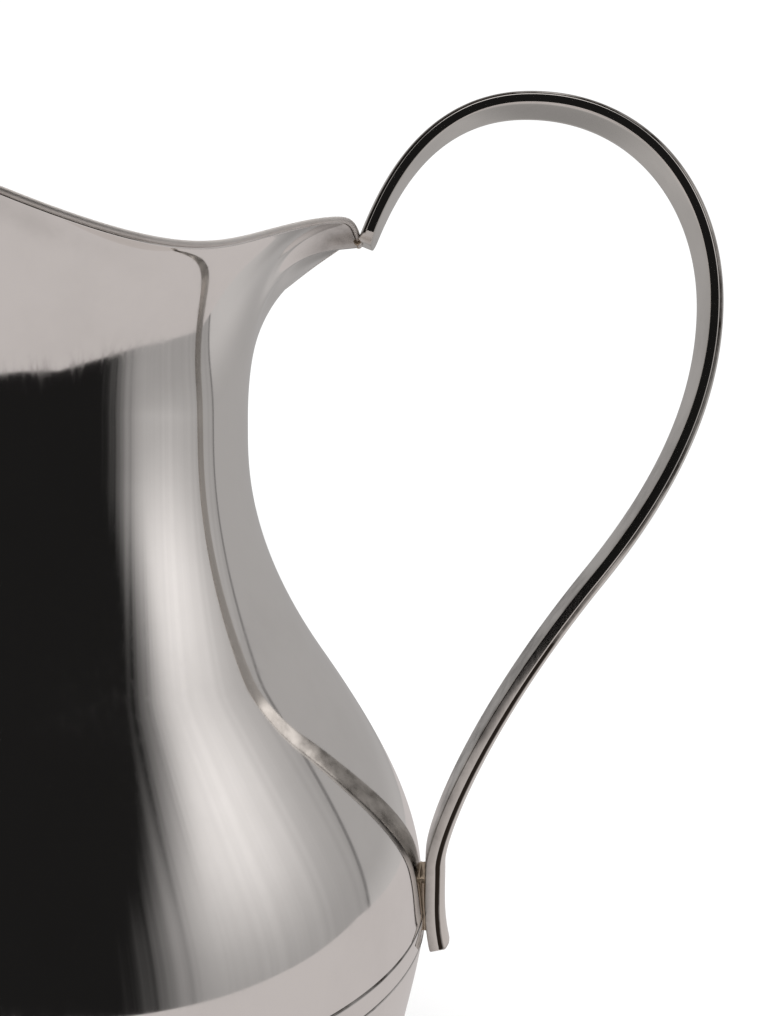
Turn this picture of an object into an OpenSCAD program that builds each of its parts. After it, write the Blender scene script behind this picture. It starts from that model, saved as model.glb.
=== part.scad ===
// Silver water pitcher: a spun two-part body with a raised lip, a wide spout and a
// narrow tail at the back, and a half-round strap handle in a heart-shaped loop.
// Units are millimetres, +Z is up and +X points from the body's axis to the handle.
// Z = 0 is the plane the pitcher stands on, and the body's axis is the Z axis.

/* [Body] */
// Radius of the body at the seam, just above its widest
belly_r = 73.5; // [72:0.1:75]
// Height of the seam between the two body shells
seam_z = 58; // [57:0.5:59]
// Radius of the neck
neck_r = 34.2; // [33.5:0.1:36]
// Height of the neck, where the body is narrowest
neck_z = 165; // [162:0.5:167]
// Thickness of the silver sheet
wall = 1.1; // [0.9:0.1:1.4]
// Depth of the seam groove and of the incised line under it
groove_depth = 0.35; // [0.2:0.05:0.5]
// Height of the incised line under the seam
line_z = 53.9; // [50:0.1:55]

/* [Lip] */
// Radius of the lip at the sides of the mouth
side_r = 45.9; // [44:0.1:48]
// Reach of the tail behind the mouth, from the axis
tail_r = 58.8; // [58:0.1:59.5]
// Reach of the spout, from the axis
spout_r = 64; // [58:1:70]
// Radius of the bead along the edge of the lip
bead_r = 0.6; // [0.5:0.05:0.9]

/* [Foot] */
// Radius of the flat base disc
base_r = 43; // [38:1:44]
// Height of the foot ring
foot_h = 3; // [2.5:0.1:3.2]

/* [Handle] */
// Width of the strap
strap_w = 11.1; // [10:0.1:12]
// Thickness of the strap at its two edges, at the upper end
edge_t = 1.85; // [1.6:0.05:2]
// Extra edge thickness gained on the way to the lower end
edge_gain = 0.3; // [0:0.1:0.5]
// Rise of the rounded outer face above the strap's edges, at the upper end
crown_h = 1.4; // [1.2:0.1:1.8]
// Extra rise of the rounded face gained on the way to the lower end
crown_gain = 0.9; // [0.4:0.1:1]
// Width of the flat land on each side of the rounded face
land = 0.35; // [0.25:0.05:0.5]
// Radius of the two corners at the strap's upper end
end_round = 3; // [2.5:0.5:4]
// Height of the pad's lower end, where the strap is soldered to the body
pad_z = 54.2; // [53.5:0.1:56]
// Length of the pad up the body
pad_len = 11.7; // [9:0.1:12.5]

/* [Hidden] */

round_steps = 72;      // steps round the raised part of the body
flare_steps = 12;      // rings between the neck and the lip
shell_steps = 9;       // points along each curve of the body's outline
strap_steps = 12;      // rings along each curve of the handle
crown_steps = 10;      // points across the strap's rounded face
fine = 160;            // facets of a true circle
gap = 0.02;            // play between pieces that would otherwise share a face
end_back = 0.8;        // how far the strap's upper end ring lies behind its first stop

// Curves of the body's outline, bottom to top. Each stop is [radius, height, heading,
// pull before, pull after]: the heading is in degrees from +X towards +Z.
foot_stop = [46, foot_h, 16, 0, 13];
under_stop = [66.2, 20, 81, 9, 15];
seam_stop = [belly_r, seam_z, 98, 6.5, 9.9];
waist_stop = [51.1, 112.5, 124.4, 42.5, 31.8];
neck_stop = [neck_r, neck_z, 90, 9, 0];

// Curves of the strap's inner face, from the tail over the top and down to the body.
strap_stops = [
    [62.2, 202.7, 68, 0, 11],
    [94.4, 230.3, 0, 20, 24],
    [132.4, 189, -90, 22, 18],
    [108.7, 132.2, -128.4, 26.4, 39.8],
    [73.8, 68.2, -90, 7, 6.7],
    [74.7, 50, -78, 7, 0]
];

// ---------- curves ----------
function heading(a) = [cos(a), sin(a)];
function cubic(p, q, r, s, t) =
    pow(1 - t, 3) * p + 3 * t * pow(1 - t, 2) * q + 3 * t * t * (1 - t) * r + pow(t, 3) * s;
// The point at t, from 0 to 1, on the curve between two stops
function between(a, b, t) =
    let (p = [a[0], a[1]], s = [b[0], b[1]])
    cubic(p, p + a[4] * heading(a[2]), s - b[3] * heading(b[2]), s, t);
function chain(stops, steps) = [
    for (i = [0 : len(stops) - 2]) for (k = [0 : steps - 1])
        between(stops[i], stops[i + 1], k / steps),
    [stops[len(stops) - 1][0], stops[len(stops) - 1][1]]
];
// Direction of travel at point i of a path
function along(path, i) =
    let (a = path[max(i - 1, 0)], b = path[min(i + 1, len(path) - 1)], d = b - a) d / norm(d);
function left_of(d) = [-d[1], d[0]];
function inset(path, depth) = [for (i = [0 : len(path) - 1]) path[i] + depth * left_of(along(path, i))];

// ---------- the lip and the raised neck ----------
function bump(x) = exp(-x * x);
function from_tail(a) = abs(a > 180 ? a - 360 : a);
function from_spout(a) = 180 - from_tail(a);
function lip_r(a) =
    side_r + (tail_r - side_r) * bump(from_tail(a) / 21.8) + (spout_r - side_r) * bump(from_spout(a) / 32);
function lip_z(a) =
    202.4 - 19.1 * cos(a) + 5.1 * pow(cos(a), 2) + 17.9 * bump(from_tail(a) / 36.7)
    - 4.2 * bump(from_tail(a) / 4.5);
// Slope of the wall where it meets the lip: the tail and the spout lie flatter
function lip_slope(a) =
    38.9 - 32 * bump(from_tail(a) / 20.2) - 6.6 * bump((from_tail(a) - 60) / 30)
    - 5 * bump(from_spout(a) / 40);
function neck_pull(a) = 11 + 27 * bump(from_tail(a) / 25.3);
function lip_pull(a) = 5.9 + 2.2 * bump(from_tail(a) / 25.6) + 6 * bump(from_spout(a) / 50);
// The wall's outer outline at angle a, from the neck at t = 0 to the lip at t = 1
function flare(a, t) = between(
    [neck_r, neck_z, 90, 0, neck_pull(a)], [lip_r(a), lip_z(a), lip_slope(a), lip_pull(a), 0], t);
function swing(a, rz) = [rz[0] * cos(a), rz[0] * sin(a), rz[1]];
function raised(a, t) = swing(a, flare(a, t));
function out_dir(a, t) =
    let (u = raised(a + 0.5, t) - raised(a - 0.5, t),
         v = raised(a, min(t + 0.01, 1)) - raised(a, max(t - 0.01, 0)),
         n = cross(u, v)) n / norm(n);
function up_dir(a) = let (v = raised(a, 1) - raised(a, 0.98)) v / norm(v);
// Angles round the body, closer together at the tail
angles = [for (i = [0 : round_steps - 1]) let (s = 360 * i / round_steps) s - 22 * sin(s)];

belly = chain([seam_stop, waist_stop, neck_stop], shell_steps);
belly_out = concat([[belly_r - groove_depth, seam_z + gap], [belly_r, seam_z + groove_depth]],
                   [for (i = [1 : len(belly) - 1]) belly[i]]);
belly_in = concat([[belly_r - wall, seam_z + gap], [belly_r - wall, seam_z + groove_depth]],
                  [for (i = [1 : len(belly) - 1]) belly[i] + wall * left_of(along(belly, i))]);
bowl = chain([foot_stop, under_stop, seam_stop], shell_steps);

// A closed skin over a list of rings that all have the same number of points. The rings
// run out along one face of a wall and back along the other, so the last joins the first.
module wrapped(rings) {
    n = len(rings[0]);
    m = len(rings);
    points = [for (ring = rings) for (p = ring) p];
    faces = [for (i = [0 : m - 1]) for (k = [0 : n - 1])
        let (a = i * n + k, b = i * n + (k + 1) % n,
             c = ((i + 1) % m) * n + k, d = ((i + 1) % m) * n + (k + 1) % n)
        each [[a, c, b], [b, c, d]]];
    polyhedron(points, faces);
}

// A closed skin over rings with a flat cap at each end
module capped(rings) {
    n = len(rings[0]);
    m = len(rings);
    points = [for (ring = rings) for (p = ring) p];
    sides = [for (i = [0 : m - 2]) for (k = [0 : n - 1])
        let (a = i * n + k, b = i * n + (k + 1) % n, c = a + n, d = b + n)
        each [[a, c, b], [b, c, d]]];
    ends = [[for (k = [0 : n - 1]) k], [for (k = [n - 1 : -1 : 0]) (m - 1) * n + k]];
    polyhedron(points, concat(sides, ends));
}

module upper_body() {
    color("gainsboro")
        wrapped(concat(
            [for (rz = belly_out) [for (a = angles) swing(a, rz)]],
            [for (k = [1 : flare_steps]) [for (a = angles) raised(a, k / flare_steps)]],
            [for (k = [flare_steps : -1 : 1]) [for (a = angles)
                raised(a, k / flare_steps) - wall * out_dir(a, k / flare_steps)]],
            [for (i = [len(belly_in) - 1 : -1 : 0]) [for (a = angles) swing(a, belly_in[i])]]));
}

module lower_bowl() {
    inner = inset(bowl, wall);
    color("gainsboro")
        difference() {
            rotate_extrude($fn = fine)
                polygon(concat(
                    [for (i = [0 : len(bowl) - 2]) bowl[i]],
                    [[belly_r, seam_z - groove_depth], [belly_r - groove_depth, seam_z],
                     [belly_r - wall, seam_z]],
                    [for (i = [len(bowl) - 2 : -1 : 0]) inner[i]]));
            // the incised line
            rotate_extrude($fn = fine)
                translate([belly_r, line_z])
                    polygon([[1, -1], [-groove_depth, 0], [1, 1]]);
        }
}

module base_disc() {
    color("silver")
        cylinder(h = wall + 0.3, r = base_r - gap, $fn = fine);
}

module foot_ring() {
    outer = foot_stop[0] + 1.4;
    round_r = 1.2;
    color("silver")
        rotate_extrude($fn = fine)
            polygon(concat(
                [[base_r, 0], [outer - round_r, 0]],
                [for (t = [0 : 15 : 180]) [outer - round_r + round_r * sin(t), round_r - round_r * cos(t)]],
                [[foot_stop[0], foot_h - gap], [base_r, foot_h - gap]]));
}

module lip_bead() {
    color("whitesmoke")
        wrapped([for (s = [0 : 45 : 315]) [for (a = angles)
            let (up = up_dir(a), out = out_dir(a, 1),
                 mid = raised(a, 1) - wall / 2 * out + (bead_r + gap) * up)
            mid + bead_r * (sin(s) * up - cos(s) * out)]]);
}

// ---------- the handle ----------
strap_even = chain(strap_stops, strap_steps);
// The path, with more rings where the upper end is rounded
strap_path = concat(
    [for (t = [0, 0.012, 0.03, 0.055]) between(strap_stops[0], strap_stops[1], t)],
    [for (i = [1 : len(strap_even) - 1]) strap_even[i]]);
last = len(strap_path) - 1;
// Length of the path up to each of its points
strap_arc = [for (i = 0, s = 0; i <= last;
                  i = i + 1, s = s + (i <= last ? norm(strap_path[i] - strap_path[i - 1]) : 0)) s];
// How far a round corner pulls the strap's side in, at a distance from its upper end
function corner(d) = d < end_round ? end_round - sqrt(pow(end_round, 2) - pow(end_round - d, 2)) : 0;
// The strap's section: [across, outwards]. The inner face is flat, and the outer one has
// a narrow land along each edge and a half-oval crown between them. Near the upper end the
// sides are cut through the crown.
function strap_section(edge, crown, half, trim) =
    let (soft = 0.3, foot = strap_w / 2 - land, cut = half < foot,
         start = cut ? acos(half / foot) : 0, side = cut ? edge + crown * sin(start) - 0.1 : edge)
    concat(
        [[-half, trim + soft], [soft - half, trim], [half - soft, trim], [half, trim + soft], [half, side]],
        [for (k = [0 : crown_steps]) let (t = start + (180 - 2 * start) * k / crown_steps)
            [foot * cos(t), edge + crown * sin(t)]],
        [[-half, side]]);
function strap_ring(i, back, trim) =
    let (d = along(strap_path, i), out = left_of(d), p = strap_path[i] - back * d,
         share = strap_arc[i] / strap_arc[last],
         half = strap_w / 2 - corner(end_back + strap_arc[i] - back))
    [for (q = strap_section(edge_t + edge_gain * share, crown_h + crown_gain * share, half - trim, trim))
        [p[0] + q[1] * out[0], q[0], p[1] + q[1] * out[1]]];

module handle_strap() {
    color("lightgray")
        capped(concat(
            [strap_ring(0, end_back, 0), strap_ring(0, end_back - 0.1, 0)],
            [for (i = [0 : last]) strap_ring(i, 0, 0)],
            [strap_ring(last, -0.6, 0.3)]));
}

// The strap's inner face between two heights, as points up the pad's outer side
pad_side = [for (p = strap_path) if (p[0] < 80 && p[1] < pad_z + pad_len + 3 && p[1] > pad_z - 4) p];

module body_core() {
    rotate_extrude($fn = fine)
        polygon(concat([[0, foot_h]], bowl, [for (i = [1 : len(belly) - 1]) belly[i]], [[0, neck_z]]));
}

module handle_pad() {
    color("tan")
        difference() {
            intersection() {
                rotate([90, 0, 0])
                    linear_extrude(strap_w - 1.1, center = true)
                        polygon(concat([[belly_r - 3, pad_z + pad_len + 4], [belly_r - 3, pad_z - 4]],
                                       [for (i = [len(pad_side) - 1 : -1 : 0]) pad_side[i] - [gap, 0]]));
                translate([belly_r - 5, -strap_w, pad_z])
                    cube([10, strap_w * 2, pad_len]);
            }
            body_core();
        }
}

module upper_solder() {
    color("dimgray")
        translate([tail_r + 0.1, 0, 203.2])
            rotate([90, 0, 0])
                cylinder(h = 5, r = 0.9, center = true, $fn = 24);
}

module lower_solder() {
    color("peru")
        for (side = [-1, 1])
            translate([belly_r + 0.35, side * (strap_w / 2 - 0.2), pad_z + 0.4])
                cylinder(h = pad_len - 0.8, r = 0.33, $fn = 24);
}

upper_body();
lower_bowl();
base_disc();
foot_ring();
lip_bead();
handle_strap();
handle_pad();
upper_solder();
lower_solder();
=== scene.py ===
# %% [markdown]
# # A silver water pitcher
# The body is two spun shells of sheet silver that meet in a grooved seam at the belly. Its
# neck was hammered outwards into a lip with a wide spout in front and a narrow tail behind,
# and a half-round strap is bent into the handle. The measured model comes first: its nodes
# say where each piece is, and every piece made here takes the place of one node.

# %% Load the measured model
import bmesh
import bpy
import math
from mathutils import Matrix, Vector


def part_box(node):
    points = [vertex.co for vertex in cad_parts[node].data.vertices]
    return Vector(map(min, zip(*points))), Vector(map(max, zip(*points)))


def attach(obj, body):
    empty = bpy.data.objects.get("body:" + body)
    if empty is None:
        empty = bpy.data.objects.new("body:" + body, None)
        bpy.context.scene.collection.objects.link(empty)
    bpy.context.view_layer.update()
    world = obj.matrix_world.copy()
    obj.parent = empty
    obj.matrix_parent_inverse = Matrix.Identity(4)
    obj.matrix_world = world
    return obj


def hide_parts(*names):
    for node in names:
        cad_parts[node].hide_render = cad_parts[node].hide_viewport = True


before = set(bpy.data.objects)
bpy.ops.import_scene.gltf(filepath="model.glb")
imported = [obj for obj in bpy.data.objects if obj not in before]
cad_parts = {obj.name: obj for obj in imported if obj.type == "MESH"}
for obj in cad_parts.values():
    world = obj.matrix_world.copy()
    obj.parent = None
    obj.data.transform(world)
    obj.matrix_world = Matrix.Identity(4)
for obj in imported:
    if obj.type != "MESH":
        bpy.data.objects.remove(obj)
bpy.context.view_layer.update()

MM = 0.001
scene = bpy.context.scene
print("nodes:", ", ".join(sorted(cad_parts)))

# %% [markdown]
# ## Camera
# A polished pitcher is a mirror, so the camera's place decides not only the outline but also
# what every part of the body reflects. It stands close, level with the neck and right of the
# body's axis, and looks a little to the left and a little down. A close camera with a normal
# lens gives the strong perspective that a longer lens further away would lose.

# %% Place the camera
def look_from(place, turn_left, tilt_down, lens):
    camera_data = bpy.data.cameras.new("camera")
    camera_data.lens = lens
    camera_data.clip_start = 0.01
    camera = bpy.data.objects.new("camera", camera_data)
    scene.collection.objects.link(camera)
    camera.rotation_euler = (math.radians(90 - tilt_down), 0, math.radians(turn_left))
    camera.location = place
    scene.camera = camera
    return camera


camera = look_from(Vector((75.3, -217.4, 156.5)) * MM, 3.0, 2.77, 35.43)
print("camera to the handle's plane: %.0f mm" % (-camera.location.y / MM))

# %% [markdown]
# ## Curves
# A silversmith draws a profile with a few stops and sweeps a smooth curve between them. Each
# stop here is a place, a heading and how strongly the curve pulls along that heading, which is
# a cubic Bezier curve in words. Tables of points would hold the same shape, but nobody could
# change one of them without leaving a dent.

# %% Smooth curves between stops
def heading(degrees):
    return math.cos(math.radians(degrees)), math.sin(math.radians(degrees))


def between(start, end, t):
    """Point at t on the curve from one stop to the next: (x, z, heading, pull in, pull out)."""
    sx, sz = heading(start[2])
    ex, ez = heading(end[2])
    xs = start[0], start[0] + start[4] * sx, end[0] - end[3] * ex, end[0]
    zs = start[1], start[1] + start[4] * sz, end[1] - end[3] * ez, end[1]
    weights = (1 - t) ** 3, 3 * t * (1 - t) ** 2, 3 * t * t * (1 - t), t ** 3
    return sum(w * x for w, x in zip(weights, xs)), sum(w * z for w, z in zip(weights, zs))


def chain(stops, steps):
    points = [between(a, b, k / steps) for a, b in zip(stops, stops[1:]) for k in range(steps)]
    return points + [stops[-1][:2]]


def along(points, i):
    """Direction of travel at point i of a flat path."""
    (ax, az), (bx, bz) = points[max(i - 1, 0)], points[min(i + 1, len(points) - 1)]
    length = math.hypot(bx - ax, bz - az)
    return (bx - ax) / length, (bz - az) / length


def inset(points, depth):
    """The path moved to its left, which is into the metal on an outline that runs upwards."""
    moved = []
    for i, (x, z) in enumerate(points):
        dx, dz = along(points, i)
        moved.append((x - depth * dz, z + depth * dx))
    return moved


SEAM_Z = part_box("lower_bowl")[1][2] / MM
WALL = 1.1
GROOVE = 0.35
BELLY_R, NECK_R, NECK_Z = 73.5, 34.2, 165.0
LINE_Z = 53.9
FOOT_STOP = (46, 3, 16, 0, 13)
UNDER_STOP = (66.2, 20, 81, 9, 15)
SEAM_STOP = (BELLY_R, SEAM_Z, 98, 6.5, 9.9)
WAIST_STOP = (51.1, 112.5, 124.4, 42.5, 31.8)
NECK_STOP = (NECK_R, NECK_Z, 90, 9, 0)
bowl_outline = chain([FOOT_STOP, UNDER_STOP, SEAM_STOP], 48)
belly_outline = chain([SEAM_STOP, WAIST_STOP, NECK_STOP], 44)
print("seam at %.1f mm, neck at %.1f mm" % (SEAM_Z, NECK_Z))

# %% [markdown]
# ## Lip
# Above the neck the wall is no longer round. Its reach and its height follow the angle round
# the body: a broad bump of reach in front makes the spout, a narrower one behind makes the
# tail, and a small dip in height closes the tail's tip against the handle. Bell curves add up
# smoothly, so the lip has no corners, which hand modelling of each point would leave.

# %% The lip's rule
SIDE_R, TAIL_R, SPOUT_R = 45.9, 58.8, 64.0


def bump(x):
    return math.exp(-x * x)


def from_tail(angle):
    return abs((angle + 180) % 360 - 180)


def from_spout(angle):
    return 180 - from_tail(angle)


def lip_stop(angle):
    tail, spout, c = from_tail(angle), from_spout(angle), math.cos(math.radians(angle))
    reach = SIDE_R + (TAIL_R - SIDE_R) * bump(tail / 21.8) + (SPOUT_R - SIDE_R) * bump(spout / 32)
    height = 202.4 - 19.1 * c + 5.1 * c * c + 17.9 * bump(tail / 36.7) - 4.2 * bump(tail / 4.5)
    slope = 38.9 - 32 * bump(tail / 20.2) - 6.6 * bump((tail - 60) / 30) - 5 * bump(spout / 40)
    return reach, height, slope, 5.9 + 2.2 * bump(tail / 25.6) + 6 * bump(spout / 50), 0


def raised(angle, t):
    """Point of the outer surface between the neck, t = 0, and the lip, t = 1."""
    foot = (NECK_R, NECK_Z, 90, 0, 11 + 27 * bump(from_tail(angle) / 25.3))
    r, z = between(foot, lip_stop(angle), t)
    c, s = heading(angle)
    return Vector((r * c, r * s, z))


def outwards(angle, t):
    round_body = raised(angle + 0.2, t) - raised(angle - 0.2, t)
    up_wall = raised(angle, min(t + 0.005, 1)) - raised(angle, max(t - 0.005, 0))
    return round_body.cross(up_wall).normalized()


def up_at_lip(angle):
    return (raised(angle, 1) - raised(angle, 0.98)).normalized()


ROUND_STEPS, CROWDING = 320, 22
even = [360 * i / ROUND_STEPS for i in range(ROUND_STEPS)]
angles = [a - CROWDING * math.sin(math.radians(a)) for a in even]  # closer together at the tail
lip_heights = [lip_stop(a)[1] for a in angles]
print("lip height: %.0f to %.0f mm" % (min(lip_heights), max(lip_heights)))

# %% [markdown]
# ## Upper shell
# One sheet runs from the seam over the belly and the neck to the lip, and back down inside at
# the sheet's thickness. It could be a spun profile with the lip pulled out by hand, or a
# lattice bent over a tube. Rings computed from the rule above are closer to how the metal
# moves, and they give a mirror the even, fine mesh that it needs: a reflection shows dents a
# hundred times smaller than a matt surface does.

# %% Skin over rings
def skinned(name, rings, closed=True):
    """A mesh piece over rings of equal length, in mm; closed joins the last ring to the first."""
    n = len(rings[0])
    points = [tuple(c * MM for c in p) for ring in rings for p in ring]
    faces = []
    for i in range(len(rings) if closed else len(rings) - 1):
        low, high = i * n, (i + 1) % len(rings) * n
        faces += [(low + k, low + (k + 1) % n, high + (k + 1) % n, high + k) for k in range(n)]
    if not closed:
        faces += [tuple(reversed(range(n))), tuple((len(rings) - 1) * n + k for k in range(n))]
    mesh = bpy.data.meshes.new(name)
    mesh.from_pydata(points, [], faces)
    mesh.shade_smooth()
    piece = bpy.data.objects.new(name, mesh)
    scene.collection.objects.link(piece)
    return piece


# %% Upper shell
def turned_ring(r, z):
    return [(r * c, r * s, z) for c, s in map(heading, angles)]


def seam_edge(inner):
    """Rings at the seam: a bevel outside, so that two shells make a groove, with close rings
    that keep its edges crisp."""
    if inner:
        return [(BELLY_R - WALL, SEAM_Z + 0.5), (BELLY_R - WALL, SEAM_Z + 0.02)]
    return [(BELLY_R - GROOVE - 0.1, SEAM_Z + 0.02), (BELLY_R - GROOVE, SEAM_Z + 0.02),
            (BELLY_R - GROOVE + 0.03, SEAM_Z + 0.05), (BELLY_R - 0.04, SEAM_Z + GROOVE - 0.03),
            (BELLY_R - 0.01, SEAM_Z + GROOVE + 0.05)]


OUTER_STEPS, INNER_STEPS = 64, 40
outer_up = [k / OUTER_STEPS for k in range(1, OUTER_STEPS + 1)]
inner_down = [k / INNER_STEPS for k in range(INNER_STEPS, 0, -1)]
inner_belly = inset(belly_outline, WALL)
rings = [turned_ring(r, z) for r, z in seam_edge(False)]
rings += [turned_ring(r, z) for r, z in belly_outline[2:]]
rings += [[raised(a, t) for a in angles] for t in outer_up]
rings += [[raised(a, t) - WALL * outwards(a, t) for a in angles] for t in inner_down]
rings += [turned_ring(r, z) for r, z in reversed(inner_belly[3::2])]
rings += [turned_ring(r, z) for r, z in seam_edge(True)]
upper_body = skinned("upper_shell", rings)
print("upper shell: %d faces" % len(upper_body.data.polygons))

# %% [markdown]
# ## Where the silver is tarnished
# Soldering and hands leave the tail's tip dark, and a cloth doesn't reach the sheet just under
# the lip. Such places belong to the shape, not to the room, so each point stores how worn it
# is as a number. A painted image could hold the same, but an attribute needs no unwrapping.

# %% Wear stored on the shell
def mark_wear_and_shade(piece, amounts):
    """Store how dark each point's colour is: wearing and tarnishing, and painted shade on the strap."""
    piece.data.attributes.new("wear_and_shade", "FLOAT", "POINT").data.foreach_set("value", amounts)


WEAR_FROM_Z, TAIL_ROOT, TAIL_LENGTH = 180, 40, 20


def wear_at(place):
    """Tarnish grows towards the tail's tip and lies in a streak under the lip."""
    x, y, z = (c / MM for c in place)
    if z < WEAR_FROM_Z:
        return 0.0
    below_lip = raised(math.degrees(math.atan2(y, x)), 1)[2] - z
    under_lip = 0.3 * bump((below_lip - 2.5) / 2.2) * bump((x + 22) / 30)
    return max(under_lip, 1.5 * (max(0.0, x - TAIL_ROOT) / TAIL_LENGTH) ** 2 * bump(y / 30))


shell_wear = [wear_at(point.co) for point in upper_body.data.vertices]
mark_wear_and_shade(upper_body, shell_wear)
print("worn points: %d" % sum(darkening > 0.1 for darkening in shell_wear))

# %% [markdown]
# ## Turned pieces
# The lower shell, the foot ring and the base disc are turned on the body's axis, so each is
# one outline carried round a circle. A Screw modifier could do it; a Geometry Nodes tree does
# it with a grid instead, whose rows copy the outline and whose columns are the angles. One
# tree serves all three pieces, and its inputs are the number of columns and the material.

# %% A tree that turns an outline
def new_tree(name, inputs):
    """A geometry tree with one geometry in, one out and the named inputs given as (name, kind, value)."""
    tree = bpy.data.node_groups.new(name, "GeometryNodeTree")
    tree.interface.new_socket("Geometry", in_out="INPUT", socket_type="NodeSocketGeometry")
    for title, kind, value in inputs:
        socket = tree.interface.new_socket(title, in_out="INPUT", socket_type=kind)
        if value is not None:
            socket.default_value = value
    tree.interface.new_socket("Geometry", in_out="OUTPUT", socket_type="NodeSocketGeometry")
    return tree, tree.nodes.new("NodeGroupInput"), tree.nodes.new("NodeGroupOutput")


def node(tree, kind, *links, **settings):
    """A node of a tree; links are its inputs in order, each a value, a socket or None for the default."""
    made = tree.nodes.new(kind)
    for key, value in settings.items():
        setattr(made, key, value)
    sockets = [s for s in made.inputs if s.enabled]
    for socket, value in zip(sockets, links):
        if isinstance(value, bpy.types.NodeSocket):
            tree.links.new(value, socket)
        elif value is not None:
            socket.default_value = value
    return made


def math_node(tree, operation, *values):
    return node(tree, "ShaderNodeMath", *values, operation=operation).outputs[0]


def finish_tree(tree, geometry, out, material_socket):
    """Smooth faces, real meshes and the material end every tree."""
    smooth = node(tree, "GeometryNodeSetShadeSmooth", geometry)
    real = node(tree, "GeometryNodeRealizeInstances", smooth.outputs[0])
    dressed = node(tree, "GeometryNodeSetMaterial", real.outputs[0], None, material_socket)
    tree.links.new(dressed.outputs[0], out.inputs[0])


def turning_tree():
    tree, given, out = new_tree("turn_outline", [
        ("Columns", "NodeSocketInt", 256), ("Material", "NodeSocketMaterial", None)])
    outline = given.outputs["Geometry"]
    rows = node(tree, "GeometryNodeAttributeDomainSize", outline).outputs["Point Count"]
    columns = given.outputs["Columns"]
    grid = node(tree, "GeometryNodeMeshGrid", 1.0, 1.0, math_node(tree, "ADD", columns, 1.0), rows)
    index = node(tree, "GeometryNodeInputIndex").outputs[0]
    row = math_node(tree, "MODULO", index, rows)
    column = math_node(tree, "FLOOR", math_node(tree, "DIVIDE", index, rows))
    place = node(tree, "GeometryNodeInputPosition").outputs[0]
    sampled = tree.nodes.new("GeometryNodeSampleIndex")
    sampled.data_type = "FLOAT_VECTOR"
    tree.links.new(outline, sampled.inputs["Geometry"])
    tree.links.new(place, next(s for s in sampled.inputs if s.name == "Value" and s.enabled))
    tree.links.new(row, sampled.inputs["Index"])
    parts = node(tree, "ShaderNodeSeparateXYZ", next(s for s in sampled.outputs if s.enabled))
    turn = math_node(tree, "MULTIPLY", math_node(tree, "DIVIDE", column, columns), 2 * math.pi)
    x = math_node(tree, "MULTIPLY", parts.outputs["X"], math_node(tree, "COSINE", turn))
    y = math_node(tree, "MULTIPLY", parts.outputs["X"], math_node(tree, "SINE", turn))
    turned = node(tree, "ShaderNodeCombineXYZ", x, y, parts.outputs["Z"]).outputs[0]
    moved = node(tree, "GeometryNodeSetPosition", grid.outputs["Mesh"], None, turned)
    closed = node(tree, "GeometryNodeMergeByDistance", moved.outputs[0])
    closed.inputs["Distance"].default_value = 0.002 * MM
    finish_tree(tree, closed.outputs[0], out, given.outputs["Material"])
    return tree


def line_object(name, points, loop):
    """A chain of edges through points in mm: the outline or path that a tree reads."""
    edges = [(i, i + 1) for i in range(len(points) - 1)] + ([(len(points) - 1, 0)] if loop else [])
    mesh = bpy.data.meshes.new(name)
    mesh.from_pydata([tuple(c * MM for c in p) for p in points], edges, [])
    line = bpy.data.objects.new(name, mesh)
    scene.collection.objects.link(line)
    return line


def grown(name, line, tree, **values):
    """Runs a tree on a line once and keeps the result as a plain mesh piece."""
    modifier = line.modifiers.new("tree", "NODES")
    modifier.node_group = tree
    sockets = {s.name.lower(): s.identifier for s in tree.interface.items_tree if s.in_out == "INPUT"}
    for key, value in values.items():
        modifier[sockets[key.replace("_", " ")]] = value
    seen = line.evaluated_get(bpy.context.evaluated_depsgraph_get())
    mesh = bpy.data.meshes.new_from_object(seen)
    mesh.name = name
    piece = bpy.data.objects.new(name, mesh)
    scene.collection.objects.link(piece)
    bpy.data.objects.remove(line)
    print("%s: %d faces" % (name, len(mesh.polygons)))
    return piece


def faces_out(piece):
    """Turns every face of a closed piece outwards."""
    work = bmesh.new()
    work.from_mesh(piece.data)
    bmesh.ops.remove_doubles(work, verts=work.verts, dist=0.001 * MM)
    bmesh.ops.recalc_face_normals(work, faces=work.faces)
    work.to_mesh(piece.data)
    work.free()


turn_outline = turning_tree()
print("turning tree: %d nodes" % len(turn_outline.nodes))

# %% Outlines of the turned pieces
def line_groove(outline):
    """The outline with a thin V cut into it at the incised line."""
    below = [p for p in outline if p[1] < LINE_Z - 0.35]
    above = [p for p in outline if LINE_Z + 0.35 < p[1] < SEAM_Z - GROOVE - 0.1]
    r = max(p[0] for p in outline if abs(p[1] - LINE_Z) < 2)
    lower_side = [(r, LINE_Z - 0.3), (r - 0.02, LINE_Z - 0.26), (r - GROOVE + 0.02, LINE_Z - 0.03)]
    upper_side = [(x, 2 * LINE_Z - z) for x, z in reversed(lower_side)]
    cut = lower_side + [(r - GROOVE, LINE_Z)] + upper_side
    top = [(BELLY_R, SEAM_Z - GROOVE - 0.05), (BELLY_R - 0.03, SEAM_Z - GROOVE + 0.03),
           (BELLY_R - GROOVE + 0.03, SEAM_Z - 0.03), (BELLY_R - GROOVE, SEAM_Z),
           (BELLY_R - GROOVE - 0.1, SEAM_Z)]
    return below + cut + above + top


def closed_outline(points):
    return [(x, 0, z) for x, z in points + points[:1]]


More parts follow.
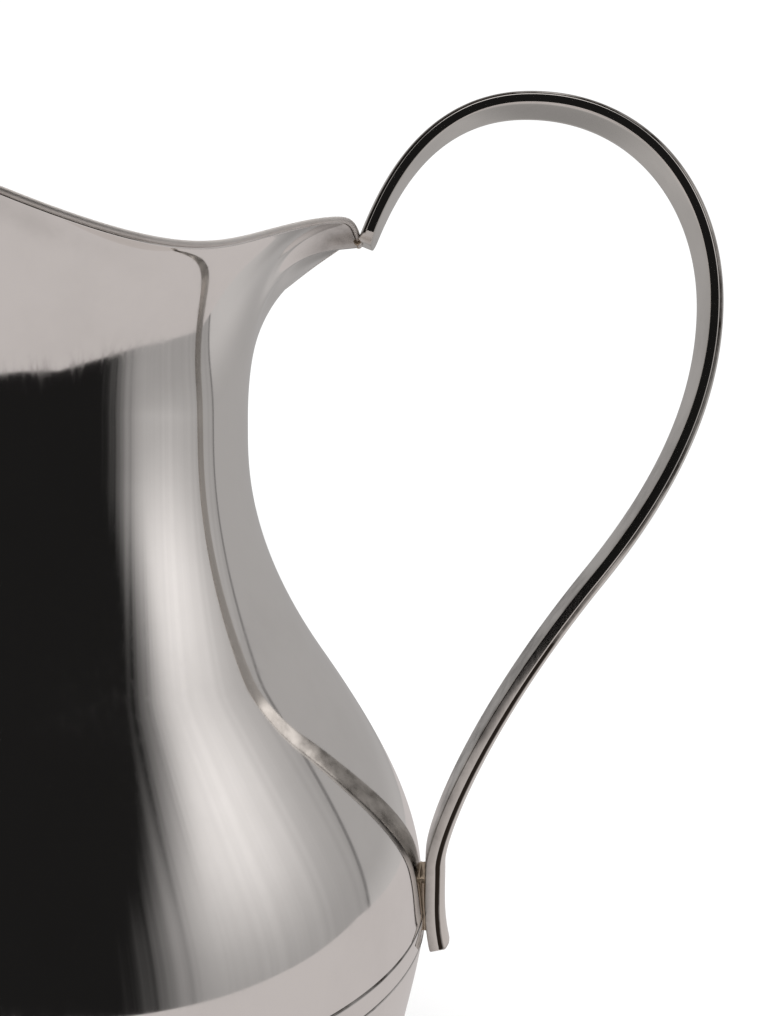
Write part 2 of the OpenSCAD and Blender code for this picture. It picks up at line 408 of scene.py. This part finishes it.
bowl_inside = inset(bowl_outline, WALL)[:-2][::-1]
bowl_rim = [(BELLY_R - WALL, SEAM_Z), (BELLY_R - WALL, SEAM_Z - 0.4)]
bowl_section = line_groove(bowl_outline) + bowl_rim + bowl_inside
FOOT_OUT, FOOT_ROUND, BASE_R = 47.4, 1.2, 43.0
foot_round = [(FOOT_OUT - FOOT_ROUND + FOOT_ROUND * s, FOOT_ROUND - FOOT_ROUND * c)
              for c, s in map(heading, range(0, 181, 12))]
foot_section = [(BASE_R, 2.98), (BASE_R, 0.1), (BASE_R + 0.1, 0)] + foot_round + [
    (FOOT_STOP[0], 2.6), (FOOT_STOP[0], 2.98)]
base_section = [(0, 0), (BASE_R - 0.3, 0), (BASE_R - 0.06, 0.05), (BASE_R - 0.02, 0.2),
                (BASE_R - 0.02, 1.2), (BASE_R - 0.1, 1.36), (BASE_R - 0.4, 1.4), (0, 1.4)]


def turned_piece(name, section, columns):
    outline = line_object("outline", closed_outline(section), False)
    piece = grown(name, outline, turn_outline, columns=columns)
    faces_out(piece)
    return piece


lower_bowl = turned_piece("lower_shell", bowl_section, 360)
foot_ring = turned_piece("foot_wire", foot_section, 256)
base_disc = turned_piece("base_plate", base_section, 192)

# %% [markdown]
# ## Bead on the lip
# The bead is wire bent to the edge and soldered down: a circle carried along a path. A curve
# object with a bevel makes that quickly, but a tree can serve every wire of the pitcher with
# its own radius, so the same one lays the lines of solder further on.

# %% A tree that carries a round section along a path
def wire_tree():
    tree, given, out = new_tree("round_wire", [
        ("Radius", "NodeSocketFloat", 0.6 * MM), ("Sides", "NodeSocketInt", 12),
        ("Material", "NodeSocketMaterial", None)])
    path = node(tree, "GeometryNodeMeshToCurve", given.outputs["Geometry"]).outputs[0]
    circle = tree.nodes.new("GeometryNodeCurvePrimitiveCircle")
    tree.links.new(given.outputs["Sides"], circle.inputs["Resolution"])
    tree.links.new(given.outputs["Radius"], circle.inputs["Radius"])
    swept = tree.nodes.new("GeometryNodeCurveToMesh")
    tree.links.new(path, swept.inputs["Curve"])
    tree.links.new(circle.outputs[0], swept.inputs["Profile Curve"])
    swept.inputs["Fill Caps"].default_value = True
    finish_tree(tree, swept.outputs[0], out, given.outputs["Material"])
    return tree


def wire_piece(name, points, loop, radius, sides):
    """A round wire of a radius in mm laid along points."""
    wire = grown(name, line_object("path", points, loop), round_wire, radius=radius * MM, sides=sides)
    faces_out(wire)
    return wire


round_wire = wire_tree()
BEAD_R = 0.6
lip_path = [raised(a, 1) - WALL / 2 * outwards(a, 1) + BEAD_R * up_at_lip(a) for a in angles]
lip_bead = wire_piece("lip_wire", lip_path, True, BEAD_R, 14)

# %% [markdown]
# ## Strap handle
# The handle is a strip of half-round wire bent to its curve. Its section has a flat inner
# face, two upright edges, a narrow land along each edge and a crown between them, and it
# grows thicker on the way down. A bevelled curve keeps one section all the way, so rings
# carry this one. Each point of a ring also says how dark its colour is. Most of that is painted
# shade in the crease where the crown meets the land. The inner face and the edges darken
# towards the lower end, and every point is a little darker near the upper joint.

# %% Section of the strap
STRAP_W, EDGE_T, EDGE_GAIN, CROWN_H, CROWN_GAIN, LAND = 11.1, 1.85, 0.3, 1.4, 0.9, 0.35
STRAP_STOPS = [
    (62.2, 202.7, 68, 0, 11), (94.4, 230.3, 0, 20, 24), (132.4, 189, -90, 22, 18),
    (108.7, 132.2, -128.4, 26.4, 39.8), (73.8, 68.2, -90, 7, 6.7), (74.7, 50, -78, 7, 0)]
strap_path = chain(STRAP_STOPS, 64)
last = len(strap_path) - 1
INNER_SOFT, LAND_SOFT, BELLY_IN = 0.3, 0.29, 0.06
CUT_STEPS, OVAL_STEPS, TO_THE_CREASE = 7, 20, 1.35


def strap_section(edge, crown, half, trim):
    """Points (across, outwards, crease_shade) round the strap; half is where its sides are cut. The third
    value is painted shade where the crown meets the land.
    """
    side = []
    for d in (0, 22.5, 45, 67.5, 90):
        c, s = heading(d)
        side.append((half - INNER_SOFT * (1 - s), trim + INNER_SOFT * (1 - c), 0))
    foot = STRAP_W / 2 - LAND
    if half < foot:
        start = math.acos(half / foot)
        top = edge + (crown - trim) * math.sin(start)
        low = trim + INNER_SOFT
        side += [(half, low + (top - low) * k / CUT_STEPS, 0) for k in range(1, CUT_STEPS + 1)]
        start += 0.02
    else:
        start = 0
        side += [(half, edge - 0.5, 0), (half, edge - LAND_SOFT - 0.03, 0)]
        for d in (0, 30, 60, 90):
            c, s = heading(d)
            side.append((half - LAND_SOFT * (1 - c), edge - LAND_SOFT * (1 - s), 0))
        # the land beside the crease gets painted shade of 0.7
        side.append((foot + 0.07, edge - 0.01, 0.7))
    oval = []
    for k in range(OVAL_STEPS + 1):
        turn = start + (math.pi / 2 - start) * (k / OVAL_STEPS) ** TO_THE_CREASE
        # the third value is painted shade: full at the crease, fading over three steps up the crown
        crease_shade = min(1.0, max(0.0, (9 - k) / 3)) if half >= foot else 0.2
        oval.append((foot * math.cos(turn), edge + (crown - trim) * math.sin(turn), crease_shade))
    right = side + oval
    left = [(-x, o, m) for x, o, m in right[-2::-1]]
    inside = [(x * (half - INNER_SOFT) / 3, trim - BELLY_IN * (1 - (x / 3) ** 2), 0)
              for x in (-2.4, -1.6, -0.8, 0, 0.8, 1.6, 2.4)]
    return right + left + inside


print("points round the strap: %d" % len(strap_section(EDGE_T, CROWN_H, STRAP_W / 2, 0)))

# %% Rings along the handle
END_ROUND, END_BACK = 3.0, 0.8
LOW_ROUND, LOW_ON = 1.5, 0.6
UPPER_END = ((END_BACK, 0.3), (0.78, 0.16), (0.7, 0.05), (0.5, 0), (0.25, 0))
LOWER_END = ((0.25, 0), (0.45, 0.05), (0.56, 0.16), (LOW_ON, 0.3))
arc = [0.0]
for before, after in zip(strap_path, strap_path[1:]):
    arc.append(arc[-1] + math.dist(before, after))


def rounded_by(distance, radius):
    """How far a round corner pulls the side in at a distance from the end."""
    return radius - math.sqrt(radius ** 2 - (radius - distance) ** 2) if distance < radius else 0.0


def risen(share, low, high):
    """0 below low, 1 above high and straight between."""
    return min(1.0, max(0.0, share - low) / (high - low))


def strap_ring(i, back, trim):
    """Ring at point i, moved back along the path; the corners of both ends are round."""
    dx, dz = along(strap_path, i)
    x, z = strap_path[i]
    share = arc[i] / arc[last]
    gone = END_BACK + arc[i] - back
    to_go = arc[last] + END_BACK + LOW_ON - gone
    half = STRAP_W / 2 - rounded_by(gone, END_ROUND) - rounded_by(to_go, LOW_ROUND)
    edge = EDGE_T + EDGE_GAIN * share
    # painted shade in the crease: stronger near the top end and in the lower part
    crease_shade_along = 0.35 + 0.55 * bump(share / 0.25) + 0.65 * risen(share, 0.68, 0.8)
    at_joint = 0.15 * bump(gone / 4.5)
    ring = []
    for across, out, crease_shade in strap_section(edge, CROWN_H + CROWN_GAIN * share, half, trim):
        # the inner face and the edges darken towards the lower end, most next to the inner face
        on_edge = 0.04 + 0.26 * risen(share, 0.4, 0.7) * (1 - out / edge)
        darkening = crease_shade * crease_shade_along if out > edge - 0.05 else on_edge
        place = (x - back * dx - out * dz, across, z - back * dz + out * dx)
        ring.append((place, min(1.0, darkening + at_joint)))
    return ring


strap_rings = [strap_ring(0, back, trim) for back, trim in UPPER_END]
strap_rings += [strap_ring(i, 0, 0) for i in range(last + 1)]
strap_rings += [strap_ring(last, -on, trim) for on, trim in LOWER_END]
strap_places = [[place for place, _ in ring] for ring in strap_rings]
handle_strap = skinned("strap_handle", strap_places, closed=False)
mark_wear_and_shade(handle_strap, [darkening for ring in strap_rings for _, darkening in ring])
faces_out(handle_strap)
print("strap length: %.0f mm" % arc[last])

# %% [markdown]
# ## Pad and solder
# The strap does not touch the belly: a small pad fills the gap, hollowed to the body on one
# side and flat against the strap on the other. Its rings are cut from the two outlines, so it
# fits both, which a scaled box would not. Solder runs out of a joint as an uneven bead, so
# thin wires follow lines that wander a little.

# %% Pad between the body and the strap
PAD_LOW, PAD_HIGH = (v / MM for v in (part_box("handle_pad")[0][2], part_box("handle_pad")[1][2]))
PAD_IN, SIDE_HOLLOW, TOUCH = 0.55, 0.28, 0.01


def outline_x(points, z):
    """Where a flat path crosses a height."""
    for (ax, az), (bx, bz) in zip(points, points[1:]):
        if min(az, bz) <= z <= max(az, bz) and az != bz:
            return ax + (bx - ax) * (z - az) / (bz - az)
    raise ValueError("no crossing at %.1f" % z)


body_side = bowl_outline + belly_outline
strap_low = [p for p in strap_path if p[1] < 90 and p[0] < 90]


def pad_ring(z, trim):
    half = STRAP_W / 2 - PAD_IN - trim
    body_r = outline_x(body_side, z)
    strap_x = outline_x(strap_low, z)
    across = [half * (k / 6 - 1) for k in range(13)]
    ring = [(math.sqrt(body_r ** 2 - y * y) - TOUCH, y) for y in across]
    root = ring[-1][0]
    side = [(root + (strap_x - root) * k / 6, half - SIDE_HOLLOW * math.sin(math.pi * k / 6))
            for k in range(1, 6)]
    ring += side + [(strap_x - TOUCH, -y) for y in across] + [(x, -y) for x, y in side[::-1]]
    return [(x, y, z) for x, y in ring]


pad_levels = [(0, 0.5), (0.06, 0.3), (0.2, 0.12), (0.5, 0.02)]
pad_rings = [pad_ring(PAD_LOW + dz, trim) for dz, trim in pad_levels]
pad_rings += [pad_ring(PAD_LOW + 0.5 + (PAD_HIGH - PAD_LOW - 1) * k / 12, 0) for k in range(1, 12)]
pad_rings += [pad_ring(PAD_HIGH - dz, trim) for dz, trim in reversed(pad_levels)]
handle_pad = skinned("pad", pad_rings, closed=False)
faces_out(handle_pad)
print("pad: %.1f mm high" % (PAD_HIGH - PAD_LOW))

# %% Solder beside the pad and under the tail's tip
LINE_R, LINE_STEPS, LINE_SHORT, LINE_IN, LINE_ACROSS = 0.27, 24, 0.8, 0.32, 5.2
TIP_R, TIP_HALF, TIP_STEPS, TIP_Z, TIP_WEAR = 0.85, 2.4, 16, 203.2, 0.7


def wobble(k, size):
    """An uneven line that is the same on every run."""
    return size * (math.sin(k * 1.7) + 0.6 * math.sin(k * 3.1 + 1))


def bead_line(side):
    low, high = PAD_LOW + LINE_SHORT, PAD_HIGH - LINE_SHORT
    points = []
    for k in range(LINE_STEPS + 1):
        z = low + (high - low) * k / LINE_STEPS
        body_x = math.sqrt(outline_x(body_side, z) ** 2 - LINE_ACROSS ** 2)
        x = (body_x + outline_x(strap_low, z)) / 2
        points.append((x, side * (STRAP_W / 2 - LINE_IN + wobble(k, 0.03)), z))
    return points


def merged(name, pieces):
    """Several pieces as one."""
    with bpy.context.temp_override(active_object=pieces[0], object=pieces[0], selected_objects=pieces,
                                   selected_editable_objects=pieces):
        bpy.ops.object.join()
    pieces[0].name = name
    return pieces[0]


lower_solder = merged("pad_solder", [
    wire_piece("solder_line", bead_line(side), False, LINE_R, 12) for side in (-1, 1)])
tip_line = [(TAIL_R + 0.1 + wobble(k, 0.05), TIP_HALF * (2 * k / TIP_STEPS - 1), TIP_Z + wobble(k + 4, 0.05))
            for k in range(TIP_STEPS + 1)]
upper_solder = wire_piece("tail_solder", tip_line, False, TIP_R, 20)
mark_wear_and_shade(upper_solder, [TIP_WEAR] * len(upper_solder.data.vertices))

# %% [markdown]
# ## Surface effects
# Hand-polished silver is never an even mirror. A cloth leaves fine upright marks on the
# body, the hammering leaves broad soft waves, and tarnish gathers warm and brown where a cloth
# doesn't reach. These effects show on several finishes, so each is one shader group with its
# own inputs, and each finish sets its own amounts.

# %% Shader groups
def new_shader_group(name, inputs, outputs):
    tree = bpy.data.node_groups.new(name, "ShaderNodeTree")
    for title, kind, value in inputs:
        socket = tree.interface.new_socket(title, in_out="INPUT", socket_type=kind)
        socket.default_value = value
    for title, kind in outputs:
        tree.interface.new_socket(title, in_out="OUTPUT", socket_type=kind)
    return tree, tree.nodes.new("NodeGroupInput"), tree.nodes.new("NodeGroupOutput")


def noise(tree, vector, scale, detail, roughness=0.5):
    made = tree.nodes.new("ShaderNodeTexNoise")
    tree.links.new(vector, made.inputs["Vector"])
    for key, value in (("Scale", scale), ("Detail", detail), ("Roughness", roughness)):
        made.inputs[key].default_value = value
    return made.outputs["Fac"]


def remap(tree, value, low, high, to_low, to_high, smooth=True):
    made = node(tree, "ShaderNodeMapRange", value, low, high, to_low, to_high,
                interpolation_type="SMOOTHSTEP" if smooth else "LINEAR")
    return made.outputs[0]


def scaled(tree, vector, amounts):
    return node(tree, "ShaderNodeVectorMath", vector, amounts, operation="MULTIPLY").outputs[0]


def mixed(tree, kind, factor, a, b):
    made = node(tree, "ShaderNodeMix", factor, a, b, data_type=kind)
    return next(s for s in made.outputs if s.enabled)


def polish_group():
    """Roughness and height of a hand-polished surface."""
    tree, given, out = new_shader_group("hand_polish", [
        ("Roughness", "NodeSocketFloat", 0.05), ("Wipe marks", "NodeSocketFloat", 0.04),
        ("Waves", "NodeSocketFloat", 1.0), ("Scratches", "NodeSocketFloat", 1.0)],
        [("Roughness", "NodeSocketFloat"), ("Height", "NodeSocketFloat")])
    place = node(tree, "ShaderNodeTexCoord").outputs["Object"]
    wiped = remap(tree, noise(tree, scaled(tree, place, (150, 150, 8)), 6, 4, 0.65), 0.42, 0.75, 0, 1)
    cloudy = remap(tree, noise(tree, place, 28, 3), 0.3, 0.7, 0.2, 1)
    marks = math_node(tree, "MULTIPLY", wiped, cloudy)
    rough = math_node(tree, "MULTIPLY_ADD", marks, given.outputs["Wipe marks"], given.outputs["Roughness"])
    broad = noise(tree, scaled(tree, place, (1, 1, 0.6)), 26, 1)
    waves = math_node(tree, "MULTIPLY", broad, given.outputs["Waves"])
    fine = remap(tree, noise(tree, scaled(tree, place, (500, 500, 25)), 5, 2, 0.7), 0.62, 0.8, 0, 0.004)
    scratches = math_node(tree, "MULTIPLY", fine, given.outputs["Scratches"])
    height = math_node(tree, "SUBTRACT", waves, scratches)
    tree.links.new(rough, out.inputs["Roughness"])
    tree.links.new(height, out.inputs["Height"])
    return tree


def tarnish_and_shade_group():
    """Warm dark colour and its mask: patchy everywhere and strongest where the given mask is, which on the
    strap is mostly painted shade where the crown meets the land.
    """
    tree, given, out = new_shader_group("tarnish_and_shade", [
        ("Clean", "NodeSocketColor", (0.93, 0.91, 0.89, 1)),
        ("Tarnished", "NodeSocketColor", (0.3, 0.22, 0.14, 1)),
        ("Everywhere", "NodeSocketFloat", 0.05), ("Here", "NodeSocketFloat", 0.0)],
        [("Color", "NodeSocketColor"), ("Mask", "NodeSocketFloat")])
    place = node(tree, "ShaderNodeTexCoord").outputs["Object"]
    patches = remap(tree, noise(tree, place, 55, 5, 0.6), 0.35, 0.75, 0.3, 1)
    amount = math_node(tree, "ADD", given.outputs["Everywhere"], given.outputs["Here"])
    mask = math_node(tree, "MINIMUM", math_node(tree, "MULTIPLY", amount, patches), 1.0)
    colour = mixed(tree, "RGBA", mask, given.outputs["Clean"], given.outputs["Tarnished"])
    tree.links.new(colour, out.inputs["Color"])
    tree.links.new(mask, out.inputs["Mask"])
    return tree


hand_polish = polish_group()
tarnish_and_shade = tarnish_and_shade_group()
print("shader groups: hand_polish, tarnish")

# %% [markdown]
# ## Finishes
# Every piece is silver, but not one finish: the body is a bright mirror, the strap and the
# foot are duller, and the pad is tan. One function makes them all, so a finish is one line
# of amounts. Dark bands at two heights stand for the dirt that polishing leaves in the seam
# and in the incised line.

# %% Finishes
TARNISH_ROUGH = 0.25


def band(tree, height, centre, half, soft):
    """1 within half of a height and fading to 0 over soft beyond it, in mm."""
    away = math_node(tree, "ABSOLUTE", math_node(tree, "SUBTRACT", height, centre * MM))
    return remap(tree, away, half * MM, (half + soft) * MM, 1, 0)


def silver(name, clean, tarnish_and_shade_colour, everywhere, polish, bands=(), bump_mm=0.04, wear_and_shade=0):
    """Polish is (roughness, wipe marks, waves, scratches); a band is (height, half, soft, amount)."""
    material = bpy.data.materials.new(name)
    material.use_nodes = True
    tree = material.node_tree
    shader = tree.nodes["Principled BSDF"]
    shader.inputs["Metallic"].default_value = 1.0
    surface = tree.nodes.new("ShaderNodeGroup")
    surface.node_tree = hand_polish
    for key, value in zip(("Roughness", "Wipe marks", "Waves", "Scratches"), polish):
        surface.inputs[key].default_value = value
    colour = tree.nodes.new("ShaderNodeGroup")
    colour.node_tree = tarnish_and_shade
    colour.inputs["Clean"].default_value = (*clean, 1)
    colour.inputs["Tarnished"].default_value = (*tarnish_and_shade_colour, 1)
    colour.inputs["Everywhere"].default_value = everywhere
    # the stored darkening: wearing and tarnishing, and painted shade on the strap
    marked = node(tree, "ShaderNodeAttribute", attribute_name="wear_and_shade").outputs["Fac"]
    total = math_node(tree, "MULTIPLY", marked, wear_and_shade)
    place = node(tree, "ShaderNodeTexCoord").outputs["Object"]
    height = node(tree, "ShaderNodeSeparateXYZ", place).outputs["Z"]
    for centre, half, soft, amount in bands:
        one = math_node(tree, "MULTIPLY", band(tree, height, centre, half, soft), amount)
        total = math_node(tree, "ADD", total, one)
    tree.links.new(total, colour.inputs["Here"])
    tree.links.new(colour.outputs["Color"], shader.inputs["Base Color"])
    smooth = surface.outputs["Roughness"]
    rough = math_node(tree, "MULTIPLY_ADD", colour.outputs["Mask"], TARNISH_ROUGH, smooth)
    tree.links.new(rough, shader.inputs["Roughness"])
    relief = tree.nodes.new("ShaderNodeBump")
    relief.inputs["Distance"].default_value = bump_mm * MM
    tree.links.new(surface.outputs["Height"], relief.inputs["Height"])
    tree.links.new(relief.outputs["Normal"], shader.inputs["Normal"])
    return material


CLEAN, WARM, TAN, PALE_TAN = (0.93, 0.91, 0.89), (0.86, 0.83, 0.79), (0.66, 0.57, 0.47), (0.78, 0.66, 0.52)
BROWN, DARK, NEARLY_BLACK = (0.42, 0.31, 0.2), (0.06, 0.05, 0.04), (0.035, 0.028, 0.022)
dirty_lines = ((SEAM_Z, 0.24, 0.1, 1.1), (LINE_Z, 0.12, 0.1, 0.9))
body_silver = silver("body silver", CLEAN, DARK, 0.07, (0.045, 0.07, 1.5, 0.3), dirty_lines, 0.12, 1.0)
lip_silver = silver("lip silver", CLEAN, BROWN, 0.15, (0.62, 0.08, 0.3, 1.0))
# the strap's near-black darkening is mostly painted shade in the crease
strap_silver = silver("strap silver", WARM, NEARLY_BLACK, 0.05, (0.07, 0.1, 0.4, 1.0), wear_and_shade=3.0)
base_silver = silver("base silver", WARM, BROWN, 0.2, (0.22, 0.15, 0.5, 3.0))
pad_silver = silver("pad silver", PALE_TAN, BROWN, 0.25, (0.45, 0.1, 0.6, 1.0))
solder_grey = silver("solder grey", TAN, BROWN, 0.4, (0.45, 0.2, 1.0, 1.0), wear_and_shade=1.0)
finishes = (body_silver, lip_silver, strap_silver, base_silver, pad_silver, solder_grey)
print("finishes:", ", ".join(material.name for material in finishes))

# %% [markdown]
# ## Dressing
# Each piece gets its finish and takes the place of one node of the measured model. Nothing on
# the pitcher moves, so all of them ride on the root body.

# %% Dress each piece, hide the node that it stands for and put it on its body
DRESSED = [
    (upper_body, body_silver, "upper_body", "body_silver"),
    (lower_bowl, body_silver, "lower_bowl", "body_silver"),
    (base_disc, base_silver, "base_disc", "base_silver"),
    (foot_ring, base_silver, "foot_ring", "base_silver"),
    (lip_bead, lip_silver, "lip_bead", "lip_silver"),
    (handle_strap, strap_silver, "handle_strap", "handle_silver"),
    (handle_pad, pad_silver, "handle_pad", "pad_silver"),
    (upper_solder, solder_grey, "upper_solder", "solder"),
    (lower_solder, solder_grey, "lower_solder", "solder")]
for piece, material, node_name, slot_name in DRESSED:
    piece.data.materials.clear()
    piece.data.materials.append(material)
    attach(piece, "root")
    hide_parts(node_name)
print("pieces: %d" % len(DRESSED))

# %% [markdown]
# ## Studio
# A mirror shows the room, so the room is designed: a pale table, a lit white side on the
# right with a soft lamp in it, and a dark opening where the camera stands. Cards and lamps
# round the piece could do this, but a world whose colour follows the direction does it with
# no edges that would show from the back. The table that the mirror sees is a card of its
# own, so that the floor can stay nearly white.

# %% Floor, and the table seen in the silver
def flat_card(name, corners, height):
    mesh = bpy.data.meshes.new(name)
    points = [(x * MM, y * MM, height * MM) for x, y in corners]
    mesh.from_pydata(points, [], [tuple(range(len(corners)))])
    card = bpy.data.objects.new(name, mesh)
    scene.collection.objects.link(card)
    return card


def glow(name, colour, strength):
    material = bpy.data.materials.new(name)
    material.use_nodes = True
    tree = material.node_tree
    tree.nodes.remove(tree.nodes["Principled BSDF"])
    light = node(tree, "ShaderNodeEmission", (*colour, 1), strength)
    tree.links.new(light.outputs[0], tree.nodes["Material Output"].inputs["Surface"])
    return material


FLOOR_HALF = 3000
FLOOR = [(x * FLOOR_HALF, y * FLOOR_HALF) for x, y in ((-1, -1), (1, -1), (1, 1), (-1, 1))]
TABLE = [(450, 180), (500, 100), (460, 0), (385, -150), (312, -262), (255, -363), (188, -458), (95, -565),
         (-24, -672), (-250, -745), (-513, -790), (-900, -830), (-1500, -830), (-1500, 420), (150, 420),
         (330, 280)]
table = flat_card("table_card", TABLE, -1)
table.data.materials.append(glow("table glow", (0.552, 0.517, 0.508), 1.0))
for view in ("camera", "diffuse", "transmission", "shadow", "volume_scatter"):
    setattr(table, "visible_" + view, False)
floor = flat_card("floor", FLOOR, -0.2)
paper = bpy.data.materials.new("floor paper")
paper.use_nodes = True
matt = paper.node_tree.nodes["Principled BSDF"]
matt.inputs["Base Color"].default_value = (0.93, 0.93, 0.93, 1)
matt.inputs["Roughness"].default_value = 0.9
matt.inputs["Specular IOR Level"].default_value = 0.0
floor.data.materials.append(paper)
floor.visible_glossy = False
print("table: %d corners" % len(TABLE))

# %% Directions in the room
world = bpy.data.worlds.new("studio")
scene.world = world
world.use_nodes = True
world.cycles.sampling_method = "NONE"
room = world.node_tree
DEG = 180 / math.pi


def reckoned(operation, *values):
    return math_node(room, operation, *values)


direction = node(room, "ShaderNodeSeparateXYZ", node(room, "ShaderNodeTexCoord").outputs["Generated"])
forwards = reckoned("MULTIPLY", direction.outputs["Y"], -1.0)
# degrees round from the camera's side towards the right, and degrees above the horizon
side = reckoned("MULTIPLY", reckoned("ARCTAN2", direction.outputs["X"], forwards), DEG)
rise = reckoned("MULTIPLY", reckoned("ARCSINE", direction.outputs["Z"]), DEG)


def spot(side, centre, widths, strength):
    """A soft round glow at (side, rise) degrees, or a shade where the strength is negative."""
    a = reckoned("DIVIDE", reckoned("SUBTRACT", side, centre[0]), widths[0])
    b = reckoned("DIVIDE", reckoned("SUBTRACT", rise, centre[1]), widths[1])
    both = reckoned("ADD", reckoned("MULTIPLY", a, a), reckoned("MULTIPLY", b, b))
    return reckoned("MULTIPLY", reckoned("EXPONENT", reckoned("MULTIPLY", both, -1.0)), strength)


print("room: side and rise in degrees")

# %% Light in the room
CORNER_SIDE, CORNER_DARK = 114.0, 0.45
ROOM_DARK, CEILING_LIGHT = 0.011, 0.85
lit_wall = reckoned("ADD", 0.33, spot(side, (71, 33), (26, 27), 0.51))
slanted = reckoned("ADD", side, reckoned("MULTIPLY", rise, 0.06))
streaks = noise(room, node(room, "ShaderNodeCombineXYZ", slanted, 0.0, 0.0).outputs[0], 0.25, 3, 0.6)
lit_wall = reckoned("MULTIPLY", lit_wall, remap(room, streaks, 0.3, 0.7, 0.95, 1.07))
turned = reckoned("ABSOLUTE", side)
backdrop = remap(room, rise, -14, 0, 0.53, 0.385)
backdrop = reckoned("ADD", backdrop, spot(turned, (180, -19), (26, 10), -0.27))
past_corner = remap(room, turned, CORNER_SIDE - 0.4, CORNER_SIDE + 0.4, 0, 1)
sides = mixed(room, "FLOAT", past_corner, lit_wall, backdrop)
from_corner = reckoned("ABSOLUTE", reckoned("SUBTRACT", side, CORNER_SIDE))
corner_line = remap(room, from_corner, 0.4, 1.1, CORNER_DARK, 1)

uneven = remap(room, streaks, 0.3, 0.7, -5, 5, smooth=False)
opening_edge = reckoned("ADD", remap(room, rise, 12, 56, 41, 53), uneven)
into_wall = reckoned("DIVIDE", reckoned("SUBTRACT", side, opening_edge), 15.0)
right_of_opening = remap(room, into_wall, -1, 1, 0, 1)
left_of_opening = remap(room, side, -75, -60, 1, 0)
outside_opening = reckoned("MAXIMUM", right_of_opening, left_of_opening)

lit = reckoned("MULTIPLY", reckoned("MULTIPLY", sides, corner_line), outside_opening)
lit = reckoned("ADD", lit, remap(room, rise, 56, 67, ROOM_DARK, CEILING_LIGHT))
tint = node(room, "ShaderNodeCombineXYZ", 1.0, 0.967, 0.955).outputs[0]
seen = node(room, "ShaderNodeVectorMath", tint, lit, operation="SCALE").outputs[0]

# only the silver sees that room; everything else stands in a plain white one
WHITE_ROOM = (1.08, 1.08, 1.08, 1)
in_mirror = node(room, "ShaderNodeLightPath").outputs["Is Glossy Ray"]
room.links.new(mixed(room, "RGBA", in_mirror, WHITE_ROOM, seen), room.nodes["Background"].inputs["Color"])
print("room: %d nodes" % len(room.nodes))

# %% Lamp
lamp_data = bpy.data.lights.new("soft_lamp", "AREA")
lamp_data.shape, lamp_data.size, lamp_data.energy = "DISK", 0.9, 4.0
lamp = bpy.data.objects.new("soft_lamp", lamp_data)
scene.collection.objects.link(lamp)
lamp.location = (0.5, -0.5, 1.0)
lamp.rotation_euler = (Vector((0, 0, 0.1)) - lamp.location).to_track_quat("-Z", "Y").to_euler()
lamp.visible_glossy = False
scene.view_settings.view_transform = "Standard"
print("lamp: %.1f W" % lamp_data.energy)
